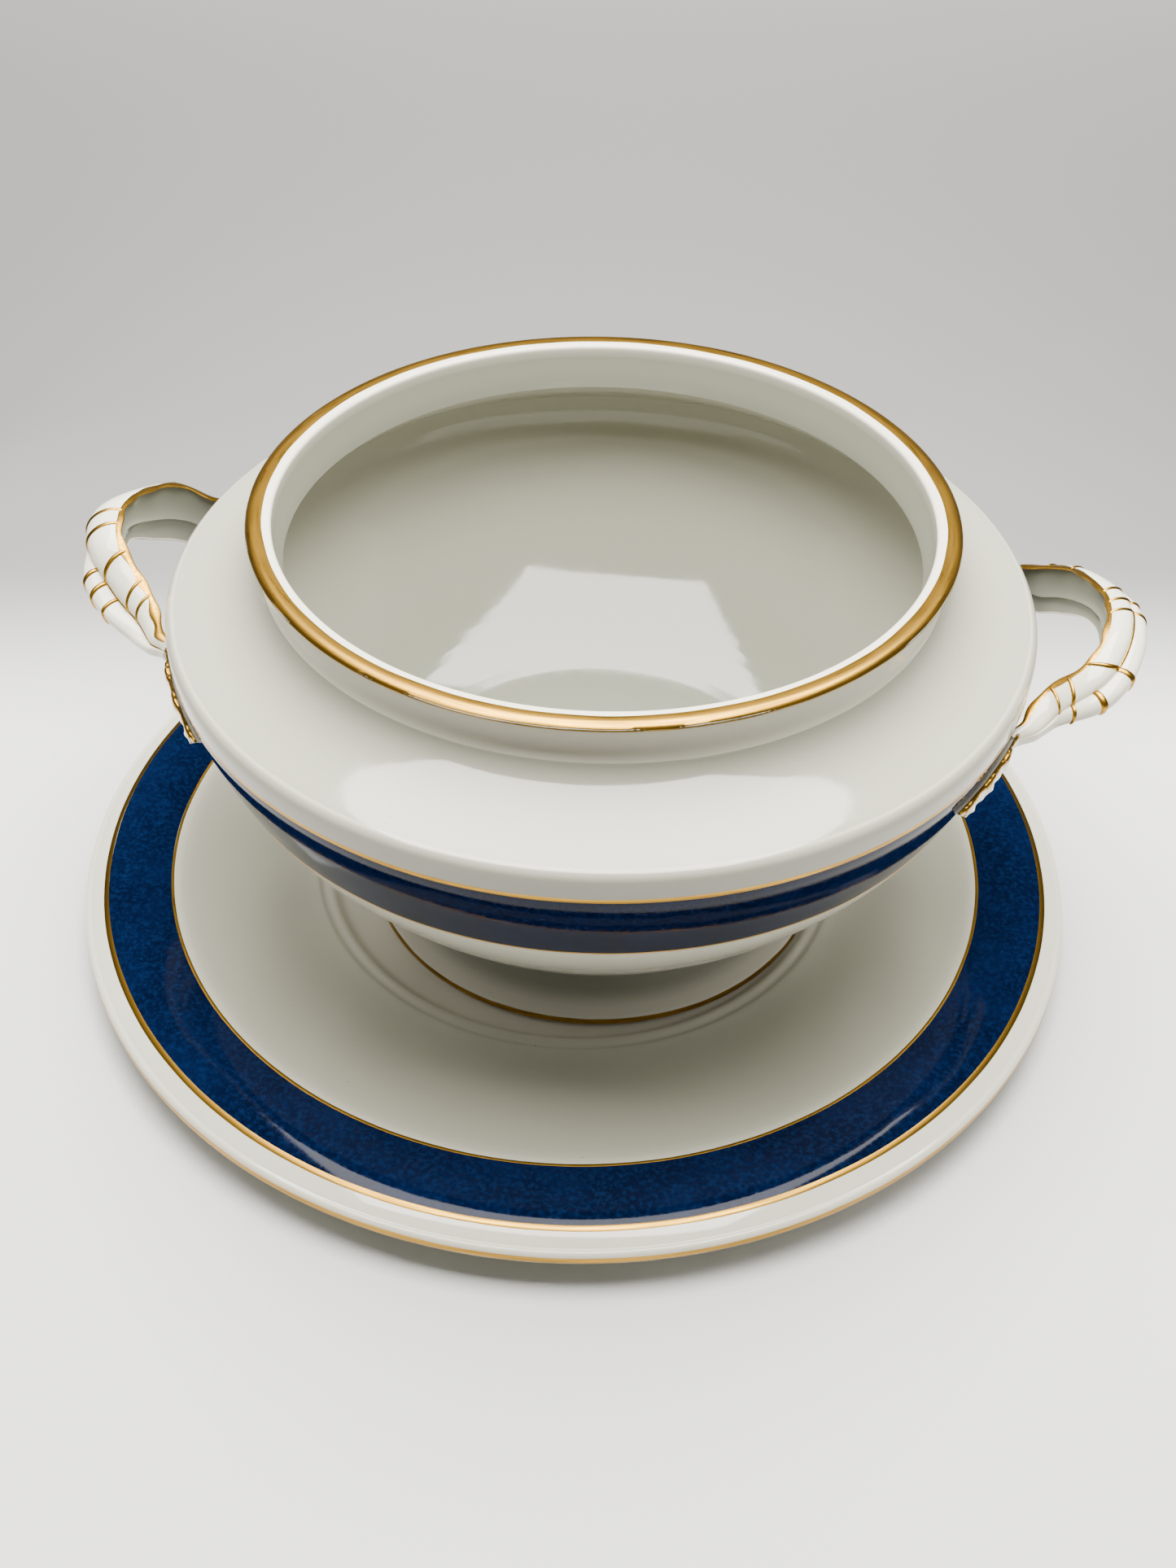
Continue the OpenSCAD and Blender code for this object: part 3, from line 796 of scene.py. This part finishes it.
def cobalt_enamel(tint):
    """Cobalt enamel, dusted on and fired into the glaze: a deep blue that breaks into paler grains about a
    millimetre across, with a slightly pebbled shine that is weaker than the glaze's."""
    material, tree, shader, place = new_material("cobalt_enamel")
    grain = noise(tree, place, 1.5, 3.0, 0.65)
    light = mixed(tree, ramp(tree, grain, 0.45, 0.8, 0.0, 0.4), tint, linear("#0F2F5E"))
    thin = ramp(tree, noise(tree, place, 22, 3.0), 0.4, 0.75, 0.0, 0.4)
    colour = mixed(tree, thin, light, linear("#071A40"))
    dips = bumped(tree, noise(tree, place, 13, 1.0), 0.06)
    finish(tree, shader, colour, ramp(tree, grain, 0.3, 0.8, 0.03, 0.12), bumped(tree, grain, 0.008, dips))
    shader.inputs["IOR"].default_value = 1.52
    shader.inputs["Specular IOR Level"].default_value = 0.1
    return material


def brushed_round(tree, place, middle):
    """Coordinates for brush strokes that run round the upright line through middle: the distance from it, the
    angle squeezed to 6 mm a radian, and the height."""
    centred = add(tree, "ShaderNodeVectorMath", {0: place, 1: (middle[0] * MM, middle[1] * MM, 0.0)},
                  operation="SUBTRACT").outputs[0]
    x, y, z = add(tree, "ShaderNodeSeparateXYZ", {0: centred}).outputs
    flat = add(tree, "ShaderNodeCombineXYZ", {0: x, 1: y}).outputs[0]
    radius = add(tree, "ShaderNodeVectorMath", {0: flat}, operation="LENGTH").outputs["Value"]
    turn = calculated(tree, "MULTIPLY", calculated(tree, "ARCTAN2", y, x), 0.006)
    return add(tree, "ShaderNodeCombineXYZ", {0: radius, 1: turn, 2: z}).outputs[0]


def gilding(name, tint, middle=None, worn=0.35, rough=0.26):
    """Burnished gold, brushed on and fired: metal with fine strokes about 0.9 mm apart along the line, browner
    where it is thin, and rubbed through to the pale glaze in small flecks."""
    material, tree, shader, place = new_material(name)
    along = place if middle is None else brushed_round(tree, place, middle)
    strokes = noise(tree, along, 0.9, 3.0)
    gold = mixed(tree, ramp(tree, strokes, 0.3, 0.7, 0.0, 0.75), linear("#8E6A22"), tint)
    patches = ramp(tree, noise(tree, place, 14, 4.0, 0.6), 0.3, 0.7, 0.0, 0.4)
    dark = mixed(tree, patches, gold, linear("#9E782C"))
    rubbed = ramp(tree, noise(tree, along, 2.2, 5.0, 0.7), 0.66, 0.72, 0.0, worn)
    colour = mixed(tree, rubbed, dark, linear("#CDBB98"))
    tree.links.new(calculated(tree, "SUBTRACT", 1.0, rubbed), shader.inputs["Metallic"])
    dull = ramp(tree, strokes, 0.3, 0.7, rough + 0.14, rough)
    finish(tree, shader, colour, dull, bumped(tree, strokes, 0.02))
    return material


def paper_with_painted_shade(tone, shaded_far_tone):
    """Matt paper with fibres about 1.4 mm across, and painted shade standing in for a shaded backdrop. It
    darkens smoothly from tone to shaded_far_tone between 60 and 210 mm behind the middle, along a line turned
    0.162 radians, and between 0.35 and 1.2 m it comes back to 0.46 of tone, painted light that grows far away."""
    material, tree, shader, place = new_material("matt_paper_painted_shade")
    squared = add(tree, "ShaderNodeVectorRotate", {"Vector": place, "Angle": -0.162}, rotation_type="Z_AXIS")
    away = add(tree, "ShaderNodeSeparateXYZ", {0: squared.outputs[0]}).outputs[1]
    # Painted shade: darker behind the tureen
    step = add(tree, "ShaderNodeMapRange", {0: away, 1: 0.06, 2: 0.21}, interpolation_type="SMOOTHSTEP")
    near = mixed(tree, noise(tree, place, 1.4, 3.0), tone, tone * 0.975)
    # Painted light: lighter again towards the far end
    dark = mixed(tree, ramp(tree, away, 0.35, 1.2, 0.0, 1.0), shaded_far_tone, tone * 0.46)
    tree.links.new(mixed(tree, step.outputs[0], near, dark), shader.inputs["Base Color"])
    shader.inputs["Roughness"].default_value = 0.75
    return material


def material(name, make, *args, **options):
    """The material of that name, made once."""
    return bpy.data.materials.get(name) or make(*args, **options)


def clay(context):
    """The glazed body of every clay piece."""
    f = context.scene.tureen_finish
    return material("glazed_earthenware", glaze, "glazed_earthenware", tuple(f.glaze), tuple(f.pooled_and_shaded))


def cobalt(context):
    """The blue of the bands on the stand and the bowl."""
    return material("cobalt_enamel", cobalt_enamel, tuple(context.scene.tureen_finish.cobalt))


def gilt(context, kind):
    """Gilding on the stand, on the tureen's turned lines, or on the handles."""
    gold = tuple(context.scene.tureen_finish.gold)
    middle = {"stand": (0.0, 0.0), "lines": STOOD, "handles": None}[kind]
    return material("burnished_gold_" + kind, gilding, "burnished_gold_" + kind, gold, middle)


# Operators ------------------------------------------------------------


class TUREEN_OT_stand(Operator):
    """Make the stand and its fired-on bands"""

    bl_idname = "tureen.stand"
    bl_label = "Stand"

    def execute(self, context):
        s = context.scene.tureen_stand
        line = stand_outline(s)
        radius, crest = s.radius / MM, s.crest / MM
        origin = np.zeros(3)

        def pooled_and_shaded(r, z):
            """Painted shade, with some thick glaze, on the slope between the well and the band."""
            return 0.7 * (1 - smooth(r, 138.0, 150.0)) * smooth(r, 72.0, 110.0)

        turned("stand_clay", line, origin, radius, 11, "stand", ["stand_dish"], clay(context), pooled_and_shaded)

        def strip(name, start, end, paint, slot, **options):
            painted(name, line, start, end, origin, radius, 11, "stand", paint, slot, **options)

        gold = gilt(context, "stand")
        inner, middle = (nearest(line, v / MM, crest) for v in (s.band_inner, s.line_radius))
        half = 0.5 * s.line_width / MM
        strip("stand_cobalt_band", inner, middle - half + 0.1, cobalt(context), "glaze")
        strip("stand_inner_line", inner - 1.0, inner + 0.1, gold, "gilding", lift=0.09)
        strip("stand_outer_line", middle - half, middle + half, gold, "gilding", lift=0.09)
        edge = nearest(line, radius, crest - 5.2)
        strip("stand_gilt_edge", edge, edge + 2.6, gold, "gilding", lift=0.09, drift=0.15)
        return {"FINISHED"}


class TUREEN_OT_bowl(Operator):
    """Make the bowl and its fired-on bands"""

    bl_idname = "tureen.bowl"
    bl_label = "Bowl"

    def execute(self, context):
        s = context.scene.tureen_bowl
        line = bowl_outline(s)
        radius = s.body_radius / MM
        wall = 0.5 * s.wall / MM

        def pooled_and_shaded(r, z):
            """Painted shade and thick glaze: inside the bowl, most on its floor; outside, low down and on the
            rounded edge.
            """
            # The inside is what lies within the middle of the wall, and under the shoulder, which slopes by
            # 1 mm for each 2.1 mm of radius
            inside = (z > 32) & (r < np.minimum(bowl_radius(z, s), 400 - 2.1 * z) - wall)
            outside = 0.5 - 0.5 * smooth(z, 50.0, 100.0) + 0.7 * smooth(r, 132.8, 135.2)
            return np.where(inside, 1 - 0.35 * smooth(z, 40.0, 85.0), outside)

        turned("bowl_clay", line, STOOD, radius, 21, "tureen", ["tureen_bowl"], clay(context), pooled_and_shaded)
        top, bottom = (nearest(line, bowl_radius(v / MM, s), v / MM) for v in (s.band_top, s.band_bottom))
        gold = gilt(context, "lines")
        for name, start, end, paint, slot, lift in (
                ("bowl_cobalt_band", top, bottom, cobalt(context), "glaze", 0.06),
                ("bowl_upper_line", top - s.upper_line / MM, top + 0.1, gold, "gilding", 0.09),
                ("bowl_lower_line", bottom - 0.1, bottom + s.lower_line / MM, gold, "gilding", 0.09)):
            painted(name, line, start, end, STOOD, radius, 21, "tureen", paint, slot, lift=lift)
        return {"FINISHED"}


class TUREEN_OT_collar(Operator):
    """Make the collar and the gilding over its roll"""

    bl_idname = "tureen.collar"
    bl_label = "Collar"

    def execute(self, context):
        s = context.scene.tureen_bowl
        line = collar_outline(s)

        def pooled_and_shaded(r, z):
            """Painted shade and thick glaze on the inside wall, up to the lip."""
            return 1 - smooth(r + 0.25 * (z - TUREEN_HEIGHT), 100.0, 101.6)

        turned("collar_clay", line, STOOD, RIM_RADIUS, 21, "tureen", ["tureen_collar"], clay(context), pooled_and_shaded,
               ring=True)
        middle = RIM_RADIUS - s.roll_width / MM / 2
        start = nearest(line, middle - 2.4, TUREEN_HEIGHT - 0.3)
        end = nearest(line, middle + 1.0, TUREEN_HEIGHT - s.roll_height / MM)
        painted("collar_gilt_roll", line, start, end, STOOD, RIM_RADIUS, 21, "tureen", gilt(context, "lines"),
                "gilding", lift=0.07, drift=0.18)
        return {"FINISHED"}


class TUREEN_OT_foot(Operator):
    """Make the pedestal foot and its gilt line"""

    bl_idname = "tureen.foot"
    bl_label = "Foot"

    def execute(self, context):
        s = context.scene.tureen_bowl
        line = foot_outline(s)
        radius = s.foot_radius / MM

        def pooled_and_shaded(r, z):
            """Painted shade and thick glaze all over, least on the thick edge."""
            return 0.7 - 0.6 * smooth(r, 69.0, 76.0)

        turned("foot_clay", line, STOOD, radius, 31, "tureen", ["tureen_foot"], clay(context), pooled_and_shaded,
               ring=True)
        start = nearest(line, radius - 0.5, 3.3)
        painted("foot_gilt_line", line, start, start + 2.3, STOOD, radius, 31, "tureen", gilt(context, "lines"),
                "gilding", lift=0.07)
        return {"FINISHED"}


class TUREEN_OT_handles(Operator):
    """Make both handles: reeds, gilded edge, rings and seam"""

    bl_idname = "tureen.handles"
    bl_label = "Handles"

    def execute(self, context):
        h = context.scene.tureen_handles
        gold = gilt(context, "handles")
        for side, word in ((LEFT, "left"), (RIGHT, "right")):
            handle = Handle(side)
            reed(handle, False, word + "_upper_reed_clay", [word + "_upper_reed"], clay(context))
            reed(handle, True, word + "_lower_reed_clay", [word + "_lower_reed"], clay(context))
            s = np.linspace(0.99, -0.99, 301)
            # The gilding's middle lies 0.2 to 0.5 mm outwards of the edge, as an unsteady brush leaves it
            slip = 0.35 + 0.15 * np.sin(23 * s) * np.cos(9 * s)
            line = handle.world(handle.place(s, np.stack([slip, 0.38 + 0 * s], -1)[:, None])[:, 0])
            out = handle.at(handle.out, s) * [side, 1, 1]
            along = np.gradient(line, axis=0)
            along /= np.linalg.norm(along, axis=1, keepdims=True)
            up = np.cross(out, along)
            up *= np.sign(up[:, 2:])
            wide = (h.edge / MM) * (1 + 0.22 * np.sin(31 * s + side))[:, None, None]
            points, faces = solid_strip(tube(line, out, up, wide, 0.62))
            piece(word + "_gilt_edge", points, faces, "tureen", (), gold, "gilding")
            parts = []
            for rings, lower in ((UPPER_RINGS, False), (LOWER_RINGS, True)):
                for start, slant in rings[side]:
                    p, f = ring_strip(handle, start, slant, lower, h.ring / MM, h.ring_rise / MM)
                    parts.append((handle.world(p), f))
            low, high = GILT_SEAM[side]
            s = np.linspace(high, low, 120)
            upper, *_ = handle.sections(s)
            seam = handle.world(handle.place(s, upper[:, -1:] - [0.0, 0.15])[:, 0])
            out = handle.at(handle.out, s) * [side, 1, 1]
            parts.append(solid_strip(tube(seam, out, np.array([0, 0, 1.0]) + 0 * out, 0.5, 0.5)))
            points, faces = merged(parts)
            piece(word + "_gilt_rings", points, faces, "tureen", [word + "_reed_ties"], gold, "gilding")
        return {"FINISHED"}


class TUREEN_OT_leaves(Operator):
    """Make the four leaves and their gilding"""

    bl_idname = "tureen.leaves"
    bl_label = "Leaves"

    def execute(self, context):
        s, h = context.scene.tureen_bowl, context.scene.tureen_handles
        for side, word in ((LEFT, "left"), (RIGHT, "right")):
            for front, end in ((True, "front"), (False, "back")):
                name = word + "_" + end + "_leaf"
                points, faces = leaf(side, front, s, h)
                piece(name + "_clay", points, faces, "tureen", [name], clay(context), "glaze", sharp=60.0)
                points, faces = leaf_gilding(side, front, s, h)
                piece(name + "_gilding", points, faces, "tureen", (), gilt(context, "handles"), "gilding")
        return {"FINISHED"}


def area_light(name, place, aim, size, power, tint, glossy=True):
    """A rectangular area light at place, facing aim, that reflections show only if glossy."""
    data = bpy.data.lights.new(name, "AREA")
    data.shape = "RECTANGLE"
    data.size, data.size_y = size
    data.energy = power
    data.color = tint
    lamp = bpy.data.objects.new(name, data)
    away = np.asarray(place, float) - np.asarray(aim, float)
    z = away / np.linalg.norm(away)
    x = np.cross([0.0, 1.0, 0.0], z)
    x /= np.linalg.norm(x)
    y = np.cross(z, x)
    lamp.visible_glossy = glossy
    lamp.matrix_world = Matrix([[*row, p] for row, p in zip(np.stack([x, y, z], 1), place)] + [[0, 0, 0, 1]])
    bpy.context.scene.collection.objects.link(lamp)
    return lamp


class TUREEN_OT_stage(Operator):
    """Make the table, the lights and the camera"""

    bl_idname = "tureen.stage"
    bl_label = "Studio"

    def execute(self, context):
        s, scene = context.scene.tureen_stage, context.scene
        # Camera: looks 41.4 degrees down, turned 7 degrees to the left, rolled 1.4 degrees
        pitch, turn, roll = np.radians([41.413, 7.01, 1.419])
        ahead = np.array([-np.sin(turn) * np.cos(pitch), np.cos(turn) * np.cos(pitch), -np.sin(pitch)])
        level = np.array([np.cos(turn), np.sin(turn), 0.0])
        up = np.cross(level, ahead)
        right = np.cos(roll) * level + np.sin(roll) * up
        up = -np.sin(roll) * level + np.cos(roll) * up
        data = bpy.data.cameras.new("camera")
        data.sensor_width = 36.0
        data.lens = s.lens
        data.clip_start = 0.01
        camera = bpy.data.objects.new("camera", data)
        place = (s.camera_x, s.camera_y, s.camera_z)
        camera.matrix_world = Matrix([[*row, p] for row, p in zip(np.stack([right, up, -ahead], 1), place)]
                                     + [[0, 0, 0, 1]])
        scene.collection.objects.link(camera)
        scene.camera = camera

        # Table: one level sheet of paper, 8 m across, painted darker towards the back as painted shade
        x, y = np.meshgrid(np.linspace(-4.0, 4.0, 9), np.linspace(-4.0, 4.0, 9))
        mesh = bpy.data.meshes.new("table")
        mesh.from_pydata(np.stack([x, y, 0 * x], -1).reshape(-1, 3).tolist(), [],
                         grid_faces(9, 9, wrap_columns=False).tolist())
        # The paper's tone falls to tone * fade at the back: painted shade
        tone = np.array(tuple(scene.tureen_finish.floor))
        mesh.materials.append(paper_with_painted_shade(tone, tone * s.fade))
        floor = bpy.data.objects.new("table", mesh)
        scene.collection.objects.link(floor)
        floor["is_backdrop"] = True

        world = bpy.data.worlds.new("room")
        scene.world = world
        world.use_nodes = True
        background = world.node_tree.nodes["Background"]
        background.inputs["Color"].default_value = (0.95, 0.96, 1.0, 1.0)
        background.inputs["Strength"].default_value = s.ambient
        # Lights: a bright sheet overhead, one over the far end of the table and one at each side. Only the
        # first is seen in reflections
        warm = (1.0, 0.985, 0.95)
        area_light("overhead", (0.0, 0.015, 0.6), (0.0, 0.0151, 0.0), (0.54, 0.57), s.key, warm)
        area_light("far", (-0.15, 1.5, 1.3), (-0.15, 1.5001, 0.0), (2.4, 1.4), s.far, warm, glossy=False)
        for side in (LEFT, RIGHT):
            area_light("wall", (side * 0.32, 0.015, 0.3), (0.0, 0.015, 0.29), (0.57, 0.5), s.walls, warm,
                       glossy=False)
        return {"FINISHED"}


STEPS = (TUREEN_OT_stand, TUREEN_OT_bowl, TUREEN_OT_collar, TUREEN_OT_foot, TUREEN_OT_handles, TUREEN_OT_leaves,
         TUREEN_OT_stage)
SETTINGS = {
    "tureen_stand": StandSettings, "tureen_bowl": BowlSettings, "tureen_handles": HandleSettings,
    "tureen_finish": FinishSettings, "tureen_stage": StageSettings,
}


class TUREEN_PT_panel(Panel):
    """Sizes, colours and steps of the tureen"""

    bl_idname = "TUREEN_PT_panel"
    bl_label = "Soup Tureen"
    bl_space_type = "VIEW_3D"
    bl_region_type = "UI"
    bl_category = "Tureen"

    def draw(self, context):
        for name, group in SETTINGS.items():
            box = self.layout.box()
            box.label(text=group.__doc__.rstrip("."))
            for prop in group.__annotations__:
                box.prop(getattr(context.scene, name), prop)
        for step in STEPS:
            self.layout.operator(step.bl_idname)


CLASSES = (*SETTINGS.values(), *STEPS, TUREEN_PT_panel)


def register():
    for c in CLASSES:
        bpy.utils.register_class(c)
    for name, group in SETTINGS.items():
        setattr(bpy.types.Scene, name, PointerProperty(type=group))


def unregister():
    for name in SETTINGS:
        delattr(bpy.types.Scene, name)
    for c in reversed(CLASSES):
        bpy.utils.unregister_class(c)


def main():
    """Builds everything by its own operator, then works out how large the part is."""
    register()
    for step in STEPS:
        group, action = step.bl_idname.split(".")
        getattr(getattr(bpy.ops, group), action)()
    boxes = {"cad": CAD_BOX, "visual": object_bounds()}
    {k: [[float(x) for x in corner] for corner in v] for k, v in boxes.items()}


if __name__ == "__main__":
    main()
